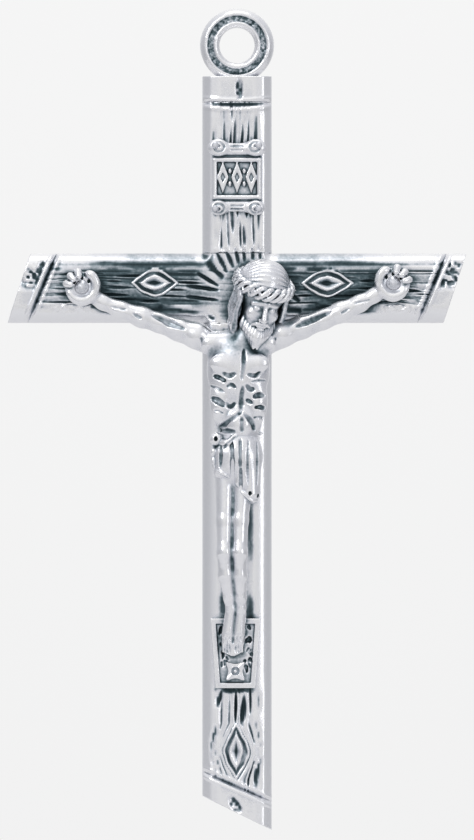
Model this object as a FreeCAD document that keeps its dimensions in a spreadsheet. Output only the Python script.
"""A small hanging crucifix in antiqued silver metal.

Two bars carved like round-faced logs are half-lapped into a cross. Each of the four log ends is sawn at a
slant (the top end square) and closed by a separate end band that fits over a tenon. A flat eye with a
countersunk hole stands on the top band. A figure with a crown of twisted thorns, a curled scroll and a
tapered footrest are mounted on the front face, and pins and one screw come in from the back.

Frame: millimetres, +Z up, the front faces -Y, and the origin is the middle of the eye's hole.
"""

import FreeCAD, Part
import math
import os

import Sketcher
from FreeCAD import Matrix, Placement, Rotation, Vector

OUT_FOLDER = "parts"

# Driving dimensions: (alias, value). Drops are measured down from the eye's centre, sides from the centre line.
DIMENSIONS = [
    # the log bars
    ("beam_width", 4.3),
    ("beam_depth", 2.0),
    ("front_round", 0.8),
    ("back_round", 0.3),
    ("joint_chamfer", 0.14),
    ("top_drop", 1.93),
    ("top_band", 1.6),
    ("crossbar_drop", 15.05),
    ("crossbar_half", 13.5),
    ("side_band", 1.48),
    ("side_lean", 0.33),
    ("side_joint_lean", 0.42),
    ("foot_drop", 47.55),
    ("foot_band", 1.68),
    ("foot_lean", 0.49),
    ("foot_joint_lean", 0.44),
    ("tenon_width", 2.2),
    ("tenon_depth", 0.9),
    ("tenon_length", 0.75),
    # the eye
    ("eye_hole_radius", 1.08),
    ("eye_radius", 2.3),
    ("eye_depth", 1.5),
    ("eye_countersink", 0.3),
    ("eye_round", 0.5),
    ("shank_radius", 0.55),
    ("shank_drop", 5.2),
    # the scroll
    ("scroll_width", 3.75),
    ("scroll_top_drop", 5.8),
    ("scroll_height", 4.8),
    ("scroll_depth", 0.32),
    ("scroll_roll", 0.45),
    # the footrest
    ("rest_top_drop", 35.5),
    ("rest_height", 4.3),
    ("rest_top_width", 3.1),
    ("rest_foot_width", 2.5),
    ("rest_depth", 0.55),
    ("rest_rim", 0.38),
    ("rest_recess", 0.25),
    ("peg_drop", 38.75),
    ("peg_width", 1.15),
    # pins and the screw
    ("nail_radius", 0.2),
    ("nail_head", 0.42),
    ("pin_radius", 0.2),
    ("small_pin", 0.12),
    ("small_pin_head", 0.22),
    ("screw_radius", 0.45),
    ("screw_head", 0.85),
    ("screw_drop", 21.0),
    # the crown of thorns
    ("crown_radius", 1.8),
    ("crown_wire", 0.27),
]

doc = FreeCAD.newDocument("Crucifix")


class Size:
    """A length that knows its value and the sheet expression that gives it."""

    def __init__(self, value, text):
        self.value = value
        self.text = text

    def __add__(self, other):
        other = as_size(other)
        return Size(self.value + other.value, f"({self.text} + {other.text})")

    def __sub__(self, other):
        other = as_size(other)
        return Size(self.value - other.value, f"({self.text} - {other.text})")

    def __mul__(self, other):
        other = as_size(other)
        return Size(self.value * other.value, f"({self.text} * {other.text})")

    def __truediv__(self, other):
        other = as_size(other)
        return Size(self.value / other.value, f"({self.text} / {other.text})")

    def __neg__(self):
        return self * -1


def as_size(value):
    return value if isinstance(value, Size) else Size(value, f"({value!r})")


def make_sheet():
    """The spreadsheet of driving dimensions, and each of its cells as a Size."""
    sheet = doc.addObject("Spreadsheet::Sheet", "Sizes")
    cells = {}
    for row, (alias, value) in enumerate(DIMENSIONS, start=1):
        sheet.set(f"A{row}", alias)
        sheet.set(f"B{row}", str(value))
        sheet.setAlias(f"B{row}", alias)
        cells[alias] = Size(value, f"Sizes.{alias}")
    doc.recompute()
    return cells


D = make_sheet()
HALF_WIDTH = D["beam_width"] / 2
FRONT = -D["beam_depth"] / 2
BACK = D["beam_depth"] / 2
TOP = -D["top_drop"]
TOP_JOINT = TOP - D["top_band"]
CROSSING = -D["crossbar_drop"]
CROSSING_TOP = CROSSING + HALF_WIDTH
CROSSING_FOOT = CROSSING - HALF_WIDTH
FOOT = -D["foot_drop"]
FOOT_JOINT = FOOT + D["foot_band"]
TENON_HALF = D["tenon_width"] / 2
EYE_ROOT = -D["shank_drop"]


# ---------------------------------------------------------------- feature helpers


def bind(target, prop, size):
    """Sets a property from the sheet."""
    target.setExpression(prop, as_size(size).text)


def new_body(label):
    body = doc.addObject("PartDesign::Body", label)
    body.Label = label
    return body


def polygon(body, role, corners, name="Outline"):
    """A closed sketch of straight lines on one of the body's own planes, every corner bound to the sheet."""
    plane = next(f for f in body.Origin.OriginFeatures if f.Role == role)
    sketch = body.newObject("Sketcher::SketchObject", name)
    sketch.AttachmentSupport = (plane, "")
    sketch.MapMode = "FlatFace"
    points = [Vector(as_size(u).value, as_size(v).value, 0) for u, v in corners]
    count = len(points)
    for i in range(count):
        sketch.addGeometry(Part.LineSegment(points[i], points[(i + 1) % count]))
    for i in range(count):
        sketch.addConstraint(Sketcher.Constraint("Coincident", i, 2, (i + 1) % count, 1))
    for i, (u, v) in enumerate(corners):
        for kind, size, start in (("DistanceX", u, points[i].x), ("DistanceY", v, points[i].y)):
            index = sketch.addConstraint(Sketcher.Constraint(kind, -1, 1, i, 1, start))
            bind(sketch, f"Constraints[{index}]", size)
    return sketch


def padded(body, sketch, length, midplane=False):
    pad = body.newObject("PartDesign::Pad", "Pad")
    pad.Profile = sketch
    bind(pad, "Length", length)
    pad.Midplane = midplane
    doc.recompute()
    return pad


def edges_where(feature, test):
    """Names of the feature's edges whose middle point passes the test."""
    found = []
    for i, edge in enumerate(feature.Shape.Edges, start=1):
        if test(edge.CenterOfMass, edge):
            found.append(f"Edge{i}")
    return found


def dressed(body, kind, base, test, prop, size):
    """A Fillet or Chamfer on the edges of base that pass the test."""
    feature = body.newObject(f"PartDesign::{kind}", kind)
    feature.Base = (base, edges_where(base, test))
    bind(feature, prop, size)
    doc.recompute()
    return feature


def block(body, kind, low, high, name):
    """An Additive or Subtractive box between two corners."""
    box = body.newObject(f"PartDesign::{kind}Box", name)
    for prop, axis, i in (("Length", "x", 0), ("Width", "y", 1), ("Height", "z", 2)):
        bind(box, prop, as_size(high[i]) - low[i])
        bind(box, f"Placement.Base.{axis}", low[i])
    doc.recompute()
    return box


def drilled(body, name, radius, x, z, y_from, y_to):
    """A round hole along Y from y_from to y_to."""
    hole = body.newObject("PartDesign::SubtractiveCylinder", name)
    bind(hole, "Radius", radius)
    bind(hole, "Height", as_size(y_to) - y_from)
    hole.Placement = Placement(Vector(0, 0, 0), Rotation(Vector(1, 0, 0), -90))
    for axis, size in (("x", x), ("y", y_from), ("z", z)):
        bind(hole, f"Placement.Base.{axis}", size)
    doc.recompute()
    return hole


def turned(label, profile, x, z):
    """A body turned about an axis along Y through (x, z). The profile is a list of (radius, y) corners."""
    body = new_body(label)
    sketch = polygon(body, "XY_Plane", profile)
    spin = body.newObject("PartDesign::Revolution", "Turned")
    spin.Profile = sketch
    spin.ReferenceAxis = (sketch, ["V_Axis"])
    spin.Angle = 360
    bind(body, "Placement.Base.x", x)
    bind(body, "Placement.Base.z", z)
    doc.recompute()
    return body


def grouped(label, members):
    group = doc.addObject("Part::Compound", label)
    group.Label = label
    group.Links = members
    doc.recompute()
    return group


# ---------------------------------------------------------------- places of the fasteners

HAND_NAILS = {
    "left": (as_size(-9.6), as_size(-15.0)),
    "right": (as_size(9.67), as_size(-14.75)),
}
SCREW_PLACE = (as_size(0.1), -D["screw_drop"])
FOOT_PIN_PLACE = (as_size(-0.1), as_size(-36.2))
PEG_PLACE = (as_size(-0.1), -D["peg_drop"])
EYE_LOCK_RISE = 0.65  # above the root of the eye's shank
CROSSING_PIN_INSET = 1.25  # from the middle of the crossing, sideways and up
SCROLL_PIN_SIDE, SCROLL_PIN_RISE = 0.36, 0.41  # shares of the scroll's width and height
EYE_LOCK_PLACE = (as_size(0), EYE_ROOT + EYE_LOCK_RISE)
CROSSING_PLACES = [
    (side * CROSSING_PIN_INSET, CROSSING + rise * CROSSING_PIN_INSET)
    for side in (-1, 1)
    for rise in (-1, 1)
]
SCROLL_MID = -(D["scroll_top_drop"] + D["scroll_height"] / 2)
SCROLL_PLACES = [
    (D["scroll_width"] * side * SCROLL_PIN_SIDE, SCROLL_MID + D["scroll_height"] * rise * SCROLL_PIN_RISE)
    for side in (-1, 1)
    for rise in (-1, 1)
]
CAP_PLACES = [
    (-(D["crossbar_half"] - D["side_band"] + D["tenon_length"] / 2), CROSSING),
    (D["crossbar_half"] - D["side_band"] + D["tenon_length"] / 2, CROSSING),
    (as_size(0), FOOT_JOINT - D["tenon_length"] / 2),
]
PIN_COVER = 0.3  # metal left in front of a pin that comes in from the back


# ---------------------------------------------------------------- the log bars and their end bands


def log_stock(label, corners):
    """A bar whose outline is drawn on the front, with its long edges rounded like a log's face."""
    body = new_body(label)
    pad = padded(body, polygon(body, "XZ_Plane", corners), D["beam_depth"], midplane=True)
    return body, pad


def rounded_lengthwise(body, base, along):
    """Rounds the front and back edges that run along the bar."""

    def runs(edge):
        ends = [v.Point for v in edge.Vertexes]
        run = (ends[1] - ends[0]).normalize()
        return abs(run.dot(along)) > 0.999

    front = dressed(
        body, "Fillet", base, lambda c, e: runs(e) and c.y < 0, "Radius", D["front_round"]
    )
    return dressed(
        body,
        "Fillet",
        front,
        lambda c, e: runs(e) and abs(c.y - BACK.value) < 1e-6 and is_outer(c, along),
        "Radius",
        D["back_round"],
    )


def is_outer(centre, along):
    """True for a point on a bar's side faces rather than on its middle."""
    across = centre.x if along.z else centre.z - CROSSING.value
    return abs(abs(across) - HALF_WIDTH.value) < 1e-6


def chamfered_end(body, base, on_end):
    """Breaks the front edge of a joint face, so that two neighbours meet in a V groove."""
    limit = FRONT.value + D["front_round"].value - 0.1
    return dressed(
        body,
        "Chamfer",
        base,
        lambda c, e: on_end(c) and c.y < limit,
        "Size",
        D["joint_chamfer"],
    )


def on_side_joint(sign):
    return lambda c: abs(c.x - side_joint(sign, c.z).value) < 0.1


def on_foot_joint(c):
    return abs(c.z - foot_joint(c.x).value) < 0.1


def on_top_joint(c):
    return abs(c.z - TOP_JOINT.value) < 0.01


def side_end(sign, z):
    """x of the slanted outer end of the crossbar at height z."""
    return D["crossbar_half"] * sign + (as_size(z) - CROSSING) * D["side_lean"]


def side_joint(sign, z):
    """x of the joint between the crossbar and its end band at height z."""
    joint_half = D["crossbar_half"] - D["side_band"]
    return joint_half * sign + (as_size(z) - CROSSING) * D["side_joint_lean"]


def foot_end(x):
    return FOOT - as_size(x) * D["foot_lean"]


def foot_joint(x):
    return FOOT_JOINT - as_size(x) * D["foot_joint_lean"]


def tenon(body, kind, place, name):
    """The tongue of a bar's end, or the socket for it. place is its middle, run its direction."""
    (x, z), (half_x, half_z) = place
    half_y = D["tenon_depth"] / 2
    low = (x - half_x, -half_y, z - half_z)
    high = (x + half_x, half_y, z + half_z)
    return block(body, kind, low, high, name)


TENON_ROOT = 0.7  # how far a tongue reaches back into its own bar, behind a slanted shoulder


def tenon_place(where):
    """Middle and half sizes of each end's tongue. It starts inside the bar, so that a slant hides no gap."""
    reach = (D["tenon_length"] + TENON_ROOT) / 2
    shift = (D["tenon_length"] - TENON_ROOT) / 2
    if where == "top":
        return (as_size(0), TOP_JOINT + shift), (TENON_HALF, reach)
    if where == "foot":
        return (as_size(0), FOOT_JOINT - shift), (TENON_HALF, reach)
    sign = -1 if where == "left" else 1
    middle = (D["crossbar_half"] - D["side_band"] + shift) * sign
    return (middle, CROSSING), (reach, TENON_HALF)


def make_upright():
    corners = [
        (-HALF_WIDTH, foot_joint(-HALF_WIDTH)),
        (HALF_WIDTH, foot_joint(HALF_WIDTH)),
        (HALF_WIDTH, TOP_JOINT),
        (-HALF_WIDTH, TOP_JOINT),
    ]
    body, pad = log_stock("upright", corners)
    shape = rounded_lengthwise(body, pad, Vector(0, 0, 1))
    chamfered_end(body, shape, lambda c: on_top_joint(c) or on_foot_joint(c))
    tenon(body, "Additive", tenon_place("top"), "TopTongue")
    tenon(body, "Additive", tenon_place("foot"), "FootTongue")
    lap_low = (-HALF_WIDTH, FRONT, CROSSING_FOOT)
    lap_high = (HALF_WIDTH, as_size(0), CROSSING_TOP)
    block(body, "Subtractive", lap_low, lap_high, "FrontLap")
    drill_upright(body)
    return body


def drill_upright(body):
    """Holes for the pins, the screw and the eye's shank."""
    shank = body.newObject("PartDesign::SubtractiveCylinder", "ShankHole")
    bind(shank, "Radius", D["shank_radius"])
    bind(shank, "Height", TOP_JOINT + 1 - EYE_ROOT)
    bind(shank, "Placement.Base.z", EYE_ROOT)
    doc.recompute()
    drilled(body, "EyeLockHole", D["pin_radius"], *EYE_LOCK_PLACE, FRONT + PIN_COVER, BACK)
    drilled(body, "ScrewHole", D["screw_radius"], *SCREW_PLACE, FRONT, BACK)
    drilled(body, "ScrewSink", D["screw_head"], *SCREW_PLACE, BACK - 0.5, BACK)
    drilled(body, "FootPinHole", D["pin_radius"], *FOOT_PIN_PLACE, FRONT, BACK)
    drilled(body, "PegHole", D["nail_radius"], *PEG_PLACE, FRONT, BACK)
    for x, z in CROSSING_PLACES:
        drilled(body, "CrossingHole", D["pin_radius"], x, z, as_size(0), BACK)
    for x, z in SCROLL_PLACES:
        drilled(body, "ScrollHole", D["small_pin"], x, z, FRONT, FRONT + 0.7)
    drilled(body, "FootCapHole", D["pin_radius"], *CAP_PLACES[2], FRONT + PIN_COVER, BACK)


def make_crossbar():
    corners = [
        (side_joint(-1, CROSSING_FOOT), CROSSING_FOOT),
        (side_joint(1, CROSSING_FOOT), CROSSING_FOOT),
        (side_joint(1, CROSSING_TOP), CROSSING_TOP),
        (side_joint(-1, CROSSING_TOP), CROSSING_TOP),
    ]
    body, pad = log_stock("crossbar", corners)
    shape = rounded_lengthwise(body, pad, Vector(1, 0, 0))
    chamfered_end(body, shape, lambda c: on_side_joint(-1)(c) or on_side_joint(1)(c))
    tenon(body, "Additive", tenon_place("left"), "LeftTongue")
    tenon(body, "Additive", tenon_place("right"), "RightTongue")
    lap_low = (-HALF_WIDTH, as_size(0), CROSSING_FOOT)
    lap_high = (HALF_WIDTH, BACK, CROSSING_TOP)
    block(body, "Subtractive", lap_low, lap_high, "RearLap")
    for x, z in HAND_NAILS.values():
        drilled(body, "NailHole", D["nail_radius"], x, z, FRONT, BACK)
    for x, z in CROSSING_PLACES:
        drilled(body, "CrossingHole", D["pin_radius"], x, z, FRONT + PIN_COVER, as_size(0))
    for x, z in CAP_PLACES[:2]:
        drilled(body, "CapHole", D["pin_radius"], x, z, FRONT + PIN_COVER, BACK)
    return body


def make_top_band():
    corners = [
        (-HALF_WIDTH, TOP_JOINT),
        (HALF_WIDTH, TOP_JOINT),
        (HALF_WIDTH, TOP),
        (-HALF_WIDTH, TOP),
    ]
    body, pad = log_stock("top_band", corners)
    shape = rounded_lengthwise(body, pad, Vector(0, 0, 1))
    chamfered_end(body, shape, on_top_joint)
    tenon(body, "Subtractive", tenon_place("top"), "Socket")
    seat = body.newObject("PartDesign::SubtractiveCylinder", "EyeSeat")
    bind(seat, "Radius", D["eye_radius"])
    bind(seat, "Height", D["eye_depth"])
    seat.Placement = Placement(Vector(0, 0, 0), Rotation(Vector(1, 0, 0), -90))
    bind(seat, "Placement.Base.y", -D["eye_depth"] / 2)
    shank = body.newObject("PartDesign::SubtractiveCylinder", "ShankHole")
    bind(shank, "Radius", D["shank_radius"])
    bind(shank, "Height", -(TOP_JOINT + D["eye_hole_radius"]))
    bind(shank, "Placement.Base.z", TOP_JOINT)
    doc.recompute()
    return body


def make_side_band(name, sign):
    joint_foot, joint_top = side_joint(sign, CROSSING_FOOT), side_joint(sign, CROSSING_TOP)
    end_foot, end_top = side_end(sign, CROSSING_FOOT), side_end(sign, CROSSING_TOP)
    corners = [
        (joint_foot, CROSSING_FOOT),
        (end_foot, CROSSING_FOOT),
        (end_top, CROSSING_TOP),
        (joint_top, CROSSING_TOP),
    ]
    if sign < 0:
        corners.reverse()
    body, pad = log_stock(f"{name}_band", corners)
    shape = rounded_lengthwise(body, pad, Vector(1, 0, 0))
    chamfered_end(body, shape, on_side_joint(sign))
    tenon(body, "Subtractive", tenon_place(name), "Socket")
    x, z = CAP_PLACES[0 if sign < 0 else 1]
    drilled(body, "CapHole", D["pin_radius"], x, z, FRONT + PIN_COVER, BACK)
    return body


def make_foot_band():
    corners = [
        (-HALF_WIDTH, foot_end(-HALF_WIDTH)),
        (HALF_WIDTH, foot_end(HALF_WIDTH)),
        (HALF_WIDTH, foot_joint(HALF_WIDTH)),
        (-HALF_WIDTH, foot_joint(-HALF_WIDTH)),
    ]
    body, pad = log_stock("foot_band", corners)
    shape = rounded_lengthwise(body, pad, Vector(0, 0, 1))
    chamfered_end(body, shape, on_foot_joint)
    tenon(body, "Subtractive", tenon_place("foot"), "Socket")
    drilled(body, "CapHole", D["pin_radius"], *CAP_PLACES[2], FRONT + PIN_COVER, BACK)
    return body


# ---------------------------------------------------------------- the eye


def make_eye():
    """A flat ring with a countersunk hole and a round shank that drops into the upright."""
    inner, outer, half = D["eye_hole_radius"], D["eye_radius"], D["eye_depth"] / 2
    sink = D["eye_countersink"]
    profile = [
        (inner, -half + sink),
        (inner + sink, -half),
        (outer, -half),
        (outer, half),
        (inner + sink, half),
        (inner, half - sink),
    ]
    body = turned("hanging_eye", profile, as_size(0), as_size(0))
    dressed(
        body,
        "Fillet",
        body.Tip,
        lambda c, e: abs(e.BoundBox.XMax - outer.value) < 1e-3 and abs(c.y) > 0.1,
        "Radius",
        D["eye_round"],
    )
    shank = body.newObject("PartDesign::AdditiveCylinder", "Shank")
    bind(shank, "Radius", D["shank_radius"])
    bind(shank, "Height", -(EYE_ROOT + D["eye_hole_radius"] + 0.5))
    bind(shank, "Placement.Base.z", EYE_ROOT)
    doc.recompute()
    drilled(body, "LockHole", D["pin_radius"], *EYE_LOCK_PLACE, FRONT, BACK)
    return body


# ---------------------------------------------------------------- the scroll


def make_scroll():
    """A plaque with a curled roll along its top and its foot."""
    width, height, depth, roll = (
        D[k] for k in ("scroll_width", "scroll_height", "scroll_depth", "scroll_roll")
    )
    half = height / 2
    body = new_body("titulus_scroll")
    plate_low = (-width / 2, FRONT - depth, SCROLL_MID - half + roll)
    plate_high = (width / 2, FRONT, SCROLL_MID + half - roll)
    block(body, "Additive", plate_low, plate_high, "Plate")
    for name, rise in (("TopRoll", 1), ("FootRoll", -1)):
        curl = body.newObject("PartDesign::AdditiveCylinder", name)
        bind(curl, "Radius", roll)
        bind(curl, "Height", width)
        curl.Placement = Placement(Vector(0, 0, 0), Rotation(Vector(0, 1, 0), 90))
        bind(curl, "Placement.Base.x", -width / 2)
        bind(curl, "Placement.Base.y", FRONT - roll / 2)
        bind(curl, "Placement.Base.z", SCROLL_MID + (half - roll) * rise)
    doc.recompute()
    behind_low = (-width, FRONT, SCROLL_MID - height)
    behind_high = (width, FRONT + 1, SCROLL_MID + height)
    block(body, "Subtractive", behind_low, behind_high, "FlatBack")
    for x, z in SCROLL_PLACES:
        drilled(body, "PinHole", D["small_pin"], x, z, FRONT - roll * 2, FRONT)
    return body


# ---------------------------------------------------------------- the footrest and its peg


def make_footrest():
    """A tapered plank with a raised rim round a shallow recess."""
    top, foot = -D["rest_top_drop"], -(D["rest_top_drop"] + D["rest_height"])
    half_top, half_foot = D["rest_top_width"] / 2, D["rest_foot_width"] / 2
    rim = D["rest_rim"]
    shift = PEG_PLACE[0]
    body = new_body("footrest")
    corners = [
        (shift - half_foot, foot),
        (shift + half_foot, foot),
        (shift + half_top, top),
        (shift - half_top, top),
    ]
    sketch = polygon(body, "XZ_Plane", corners)
    bind(sketch, "AttachmentOffset.Base.z", -FRONT)
    padded(body, sketch, D["rest_depth"])
    inner = [
        (shift - half_foot + rim, foot + rim),
        (shift + half_foot - rim, foot + rim),
        (shift + half_top - rim, top - rim),
        (shift - half_top + rim, top - rim),
    ]
    recess = polygon(body, "XZ_Plane", inner, "Recess")
    bind(recess, "AttachmentOffset.Base.z", -FRONT + D["rest_depth"])
    pocket = body.newObject("PartDesign::Pocket", "Pocket")
    pocket.Profile = recess
    bind(pocket, "Length", D["rest_recess"])
    doc.recompute()
    drilled(body, "PegHole", D["nail_radius"], *PEG_PLACE, FRONT - D["rest_depth"], FRONT)
    drilled(body, "FootPinHole", D["pin_radius"], *FOOT_PIN_PLACE, FRONT - D["rest_depth"], FRONT)
    return body


def make_peg():
    """A square-headed peg that holds the footrest on the upright."""
    body = new_body("footrest_peg")
    x, z = PEG_PLACE
    half = D["peg_width"] / 2
    seat = FRONT - D["rest_depth"] + D["rest_recess"]
    block(body, "Additive", (x - half, seat - 0.35, z - half), (x + half, seat, z + half), "Head")
    dressed(
        body,
        "Chamfer",
        body.Tip,
        lambda c, e: abs(c.y - (seat.value - 0.35)) < 1e-6,
        "Size",
        0.2,
    )
    shank = body.newObject("PartDesign::AdditiveCylinder", "Shank")
    bind(shank, "Radius", D["nail_radius"])
    bind(shank, "Height", BACK - seat)
    shank.Placement = Placement(Vector(0, 0, 0), Rotation(Vector(1, 0, 0), -90))
    for axis, size in (("x", x), ("y", seat), ("z", z)):
        bind(shank, f"Placement.Base.{axis}", size)
    doc.recompute()
    return body


# ---------------------------------------------------------------- nails, pins and the screw

HAND_FRONT = -1.75  # y of the face of the hands, under the nail heads


def make_hand_nail(side):
    """A domed nail through a hand and the crossbar, dressed flush at the back."""
    shank, head = D["nail_radius"], D["nail_head"]
    face = as_size(HAND_FRONT)
    profile = [
        (0, face - 0.32),
        (head * 0.55, face - 0.27),
        (head, face - 0.08),
        (head, face),
        (shank, face),
        (shank, BACK),
        (0, BACK),
    ]
    return turned(f"hand_nail_{side}", profile, *HAND_NAILS[side])


def plain_pin(label, radius, y_from, y_to, x, z):
    """A straight pin along Y."""
    pin = doc.addObject("Part::Cylinder", label)
    pin.Label = label
    bind(pin, "Radius", radius)
    bind(pin, "Height", as_size(y_to) - y_from)
    pin.Placement = Placement(Vector(0, 0, 0), Rotation(Vector(1, 0, 0), -90))
    for axis, size in (("x", x), ("y", y_from), ("z", z)):
        bind(pin, f"Placement.Base.{axis}", size)
    doc.recompute()
    return pin


def make_scroll_pins():
    """Four small round-headed pins through the curled corners of the scroll."""
    shank, head = D["small_pin"], D["small_pin_head"]
    crest = FRONT - D["scroll_roll"] * 1.5
    profile = [
        (0, crest - 0.12),
        (head * 0.6, crest - 0.1),
        (head, crest),
        (shank, crest),
        (shank, FRONT + 0.7),
        (0, FRONT + 0.7),
    ]
    pins = [turned(f"scroll_pin_{i}", profile, x, z) for i, (x, z) in enumerate(SCROLL_PLACES)]
    return grouped("titulus_pins", pins)


def make_screw():
    """The screw from the back that draws the figure onto the cross."""
    shank, head = D["screw_radius"], D["screw_head"]
    profile = [
        (0, FRONT - 0.8),
        (shank, FRONT - 0.8),
        (shank, BACK - 0.5),
        (head, BACK - 0.5),
        (head, BACK),
        (0, BACK),
    ]
    body = turned("corpus_screw", profile, *SCREW_PLACE)
    slot_low = (-head, BACK - 0.25, as_size(-0.1))
    slot_high = (head, BACK, as_size(0.1))
    block(body, "Subtractive", slot_low, slot_high, "Slot")
    return body


# ---------------------------------------------------------------- the figure


RING_POINTS = 10
LOFT_DEGREE = 3


def ring_at(centre, across, towards, half_across, half_towards):
    """A smooth oval wire with its half axes along two directions, always starting on the same side."""
    points = []
    for i in range(RING_POINTS):
        angle = 2 * math.pi * i / RING_POINTS
        reach = across * (math.cos(angle) * half_across) + towards * (math.sin(angle) * half_towards)
        points.append(centre + reach)
    curve = Part.BSplineCurve()
    curve.interpolate(Points=points, PeriodicFlag=True)
    return Part.Wire([curve.toShape()])


def limb(stations):
    """A closed solid through elliptical sections. A station is ((x, y, z), half width, half depth)."""
    points = [Vector(*place) for place, _, _ in stations]
    rings = []
    for i, (_, width, depth) in enumerate(stations):
        run = (points[min(i + 1, len(points) - 1)] - points[max(i - 1, 0)]).normalize()
        across = run.cross(Vector(0, 1, 0)).normalize()
        rings.append(ring_at(points[i], across, across.cross(run), width, depth))
    return Part.makeLoft(rings, True, False, False, LOFT_DEGREE)


def ellipsoid(centre, half_x, half_y, half_z, lean=0):
    """An ellipsoid leaning about Y by an angle in degrees."""
    stretch = Matrix()
    stretch.scale(half_x, half_y, half_z)
    shape = Part.makeSphere(1).transformGeometry(stretch)
    shape.Placement = Placement(Vector(*centre), Rotation(Vector(0, 1, 0), lean))
    return shape


HEAD_CENTRE = (1.4, -2.3, -15.9)
HEAD_LEAN = 10
TORSO = [
    ((0.3, -1.5, -17.5), 1.5, 0.75),
    ((0.15, -1.55, -18.6), 2.05, 0.95),
    ((0.1, -1.55, -20.2), 2.1, 1.15),
    ((0.1, -1.5, -22.2), 1.8, 1.05),
    ((0.12, -1.45, -23.7), 1.5, 0.85),
    ((0.05, -1.5, -25.0), 1.65, 1.05),
    ((0.0, -1.6, -27.2), 1.6, 1.15),
    ((-0.1, -1.7, -28.0), 1.35, 1.1),
]
NECK = [
    ((1.1, -1.9, -17.2), 1.0, 0.8),
    ((0.4, -1.65, -18.9), 1.3, 0.8),
]
HAIR_LOCKS = [
    [
        ((-0.1, -1.8, -14.9), 0.6, 0.7),
        ((-0.55, -1.75, -16.2), 0.55, 0.6),
        ((-0.85, -1.6, -17.4), 0.3, 0.4),
    ],
    [
        ((2.85, -1.8, -15.4), 0.55, 0.7),
        ((2.9, -1.75, -16.9), 0.5, 0.6),
        ((2.6, -1.65, -18.3), 0.28, 0.4),
    ],
]
BEARD = [
    ((1.3, -2.75, -17.6), 0.85, 0.7),
    ((1.15, -2.75, -18.3), 0.75, 0.6),
    ((0.95, -2.6, -18.95), 0.35, 0.4),
]
NOSE = [
    ((1.5, -3.35, -15.9), 0.2, 0.2),
    ((1.45, -3.55, -16.6), 0.28, 0.28),
]
ARMS = [
    [
        ((-0.9, -1.6, -18.7), 1.0, 0.75),
        ((-2.4, -1.5, -18.0), 0.85, 0.7),
        ((-4.8, -1.35, -17.25), 0.62, 0.55),
        ((-8.0, -1.35, -16.1), 0.42, 0.42),
        ((-8.9, -1.35, -15.6), 0.7, 0.42),
        ((-9.6, -1.35, -15.1), 0.95, 0.4),
        ((-10.1, -1.35, -14.75), 0.75, 0.36),
    ],
    [
        ((1.1, -1.6, -18.7), 1.0, 0.75),
        ((2.8, -1.5, -17.9), 0.85, 0.7),
        ((5.3, -1.35, -17.0), 0.62, 0.55),
        ((8.3, -1.35, -15.65), 0.42, 0.42),
        ((9.1, -1.35, -15.15), 0.7, 0.42),
        ((9.75, -1.35, -14.75), 0.95, 0.4),
        ((10.2, -1.35, -14.45), 0.75, 0.36),
    ],
]
PALMS = [((-9.75, -1.35, -15.0), -1), ((9.8, -1.35, -14.7), 1)]
FINGER_ANGLES = (8, 30, 52, 74)
FINGER_REACH = 1.45
FINGER_RADIUS = 0.2
LEGS = [
    [
        ((-0.75, -1.6, -25.5), 0.7, 0.8),
        ((-0.75, -1.7, -27.0), 0.8, 0.95),
        ((-0.75, -2.15, -29.6), 0.64, 0.75),
        ((-0.75, -2.35, -31.4), 0.5, 0.62),
        ((-0.65, -2.15, -33.0), 0.5, 0.58),
        ((-0.45, -1.95, -34.7), 0.42, 0.42),
        ((-0.45, -1.8, -35.6), 0.48, 0.5),
        ((-0.5, -1.72, -36.8), 0.54, 0.44),
        ((-0.52, -1.68, -37.7), 0.44, 0.33),
    ],
    [
        ((0.6, -1.6, -25.5), 0.7, 0.8),
        ((0.55, -1.7, -27.0), 0.8, 0.95),
        ((0.38, -2.15, -29.6), 0.64, 0.75),
        ((0.36, -2.35, -31.4), 0.5, 0.62),
        ((0.32, -2.15, -33.0), 0.5, 0.58),
        ((0.24, -1.95, -34.7), 0.42, 0.42),
        ((0.28, -1.8, -35.6), 0.48, 0.5),
        ((0.36, -1.72, -36.8), 0.5, 0.44),
        ((0.4, -1.68, -37.6), 0.4, 0.33),
    ],
]
LOINCLOTH = [
    ((0.05, -1.7, -23.9), 1.6, 1.1),
    ((0.05, -1.8, -25.6), 1.8, 1.25),
    ((0.05, -1.9, -27.6), 1.7, 1.25),
]
CLOTH_TAIL = [
    ((1.05, -1.75, -26.4), 0.55, 0.95),
    ((1.15, -1.7, -28.6), 0.38, 0.75),
]
CLOTH_KNOT = ((-1.35, -2.35, -24.4), 0.5, 0.5, 0.45)
CLOTH_FOLDS = (-0.75, -0.25, 0.25, 0.75)
FOLD_RADIUS = 0.12
SEAT_CLEARANCE = 0.02


def fingers(palm, sign):
    """Four fingers that fan out from the palm and curl forward a little."""
    x, y, z = palm
    shapes = []
    for angle in FINGER_ANGLES:
        run_x = math.cos(math.radians(angle)) * sign
        run_z = math.sin(math.radians(angle))
        stations = [
            ((x + run_x * 0.5, y, z + run_z * 0.5), FINGER_RADIUS, FINGER_RADIUS),
            ((x + run_x * 1.05, y - 0.05, z + run_z * 1.05), FINGER_RADIUS, FINGER_RADIUS),
            (
                (x + run_x * FINGER_REACH, y - 0.2, z + run_z * FINGER_REACH),
                FINGER_RADIUS * 0.8,
                FINGER_RADIUS * 0.8,
            ),
        ]
        shapes.append(limb(stations))
    return shapes


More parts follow.
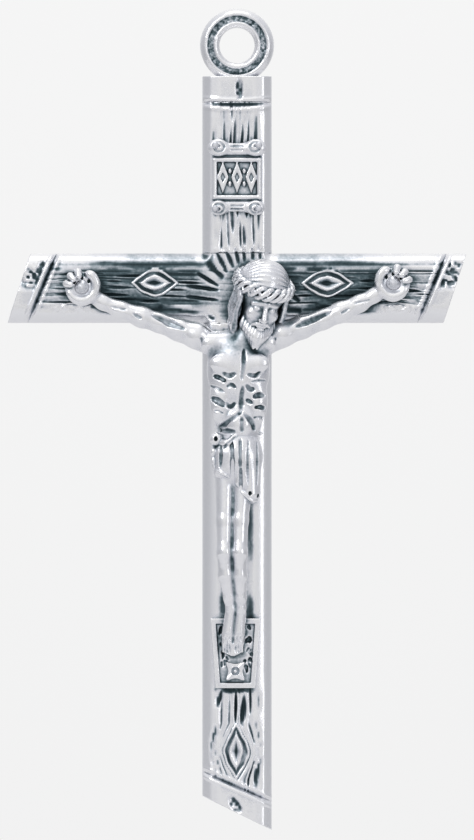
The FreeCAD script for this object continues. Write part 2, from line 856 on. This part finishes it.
def figure_volumes():
    """The rounded volumes that make up the figure."""
    volumes = [limb(TORSO), limb(NECK), limb(LOINCLOTH), limb(CLOTH_TAIL), limb(BEARD), limb(NOSE)]
    volumes += [limb(stations) for stations in ARMS + LEGS + HAIR_LOCKS]
    volumes.append(ellipsoid(HEAD_CENTRE, 1.85, 1.45, 2.75, HEAD_LEAN))
    volumes.append(ellipsoid(*CLOTH_KNOT))
    for palm, sign in PALMS:
        volumes += fingers(palm, sign)
    return volumes


def fold_grooves():
    """Thin round cutters that leave the loincloth in long folds."""
    front = min(place[1] - depth for place, _, depth in LOINCLOTH)
    return [
        Part.makeCylinder(
            FOLD_RADIUS, 3.4, Vector(x, front + abs(x) * 0.14, -28.4), Vector(0, 0.03, 1)
        )
        for x in CLOTH_FOLDS
    ]


def joined(volumes):
    """One solid from volumes that all touch, checked after each step so that none is lost."""
    solid = volumes[0]
    for volume in volumes[1:]:
        larger = solid.fuse(volume)
        if larger.Volume < max(solid.Volume, volume.Volume) - 0.01:
            raise SystemExit(f"the figure lost a volume near {volume.CenterOfMass}")
        solid = larger
    if len(solid.Solids) != 1:
        raise SystemExit(f"the figure is in {len(solid.Solids)} pieces")
    return solid


def make_figure(cross_parts, cutters):
    """The corpus: one casting, saddled on the front of the cross."""
    solid = joined(figure_volumes())
    for cutter in [part.Shape for part in cross_parts] + cutters + fold_grooves():
        solid = solid.cut(cutter)
    behind = Part.makeBox(40, 3, 40, Vector(-20, -0.55, -42))
    solid = solid.cut(behind)
    corpus = doc.addObject("Part::Feature", "corpus")
    corpus.Label = "corpus"
    corpus.Shape = max(solid.Solids, key=lambda s: s.Volume)
    return corpus


def crown_ring(extra=0.0):
    """The crown as a ring, or with extra the seat it leaves in the head."""
    ring = Part.makeTorus(D["crown_radius"].value, D["crown_wire"].value + extra)
    place = Vector(HEAD_CENTRE[0] + 0.1, HEAD_CENTRE[1] + 0.2, HEAD_CENTRE[2] + 0.95)
    turn = Rotation(Vector(0, 1, 0), HEAD_LEAN) * Rotation(Vector(1, 0, 0), 12)
    ring.Placement = Placement(place, turn)
    return ring


def make_crown(cross_parts):
    """The ring of twisted thorns round the brow."""
    solid = crown_ring()
    for part in cross_parts:
        solid = solid.cut(part.Shape)
    crown = doc.addObject("Part::Feature", "crown_of_thorns")
    crown.Label = "crown_of_thorns"
    crown.Shape = max(solid.Solids, key=lambda s: s.Volume)
    return crown


def cylinder_y(radius, x, z, y_from, y_to):
    """A plain cutting cylinder along Y."""
    return Part.makeCylinder(radius, y_to - y_from, Vector(x, y_from, z), Vector(0, 1, 0))


def figure_cutters():
    """What the figure leaves room for: its nails, the screw, the foot pin and the crown."""
    cutters = [crown_ring(SEAT_CLEARANCE)]
    for x, z in HAND_NAILS.values():
        cutters.append(cylinder_y(D["nail_radius"].value, x.value, z.value, -3, 1))
        cutters.append(cylinder_y(D["nail_head"].value + 0.01, x.value, z.value, -3, HAND_FRONT))
    x, z = SCREW_PLACE
    cutters.append(
        cylinder_y(D["screw_radius"].value, x.value, z.value, FRONT.value - 0.8, BACK.value)
    )
    x, z = FOOT_PIN_PLACE
    cutters.append(cylinder_y(D["pin_radius"].value, x.value, z.value, -1.95, BACK.value))
    return cutters


# ---------------------------------------------------------------- build and export


def check(objects):
    """Stops if any feature failed or any part's shape is empty or invalid."""
    for feature in doc.Objects:
        if "Invalid" in feature.State or "Error" in feature.State:
            raise SystemExit(f"{feature.Name} of {feature.Label}: {feature.State}")
    for item in objects:
        shape = item.Shape
        if shape.isNull() or not shape.isValid() or not shape.Solids:
            raise SystemExit(f"{item.Label} has no valid solid")


def main():
    upright = make_upright()
    crossbar = make_crossbar()
    bands = [
        make_top_band(),
        make_side_band("left", -1),
        make_side_band("right", 1),
        make_foot_band(),
    ]
    footrest = make_footrest()
    peg = make_peg()
    cross_parts = [upright, crossbar]
    crown = make_crown(cross_parts)
    corpus = make_figure(cross_parts + [footrest, peg], figure_cutters())
    eye_lock = plain_pin(
        "eye_lock_pin", D["pin_radius"], FRONT + PIN_COVER, BACK, *EYE_LOCK_PLACE
    )
    foot_pin = plain_pin("foot_pin", D["pin_radius"], as_size(-1.95), BACK, *FOOT_PIN_PLACE)
    crossing_pins = grouped(
        "crossing_pins",
        [
            plain_pin(f"crossing_pin_{i}", D["pin_radius"], FRONT + PIN_COVER, BACK, x, z)
            for i, (x, z) in enumerate(CROSSING_PLACES)
        ],
    )
    band_pins = grouped(
        "band_pins",
        [
            plain_pin(f"band_pin_{i}", D["pin_radius"], FRONT + PIN_COVER, BACK, x, z)
            for i, (x, z) in enumerate(CAP_PLACES)
        ],
    )
    parts = [upright, crossbar, *bands, make_eye(), eye_lock, make_scroll(), make_scroll_pins()]
    parts += [corpus, crown, make_hand_nail("left"), make_hand_nail("right")]
    parts += [footrest, peg, foot_pin, crossing_pins, make_screw(), band_pins]
    doc.recompute()
    check(parts)
    os.makedirs(OUT_FOLDER, exist_ok=True)
    for item in parts:
        item.Shape.exportStep(os.path.join(OUT_FOLDER, f"{item.Label}.step"))
        box = item.Shape.BoundBox
        print(
            f"{item.Label:18s} solids {len(item.Shape.Solids)} volume {item.Shape.Volume:8.3f} mm3"
            f" x {box.XMin:.2f}..{box.XMax:.2f} y {box.YMin:.2f}..{box.YMax:.2f}"
            f" z {box.ZMin:.2f}..{box.ZMax:.2f}"
        )
    print("total volume", round(math.fsum(item.Shape.Volume for item in parts), 2), "mm3")


main()
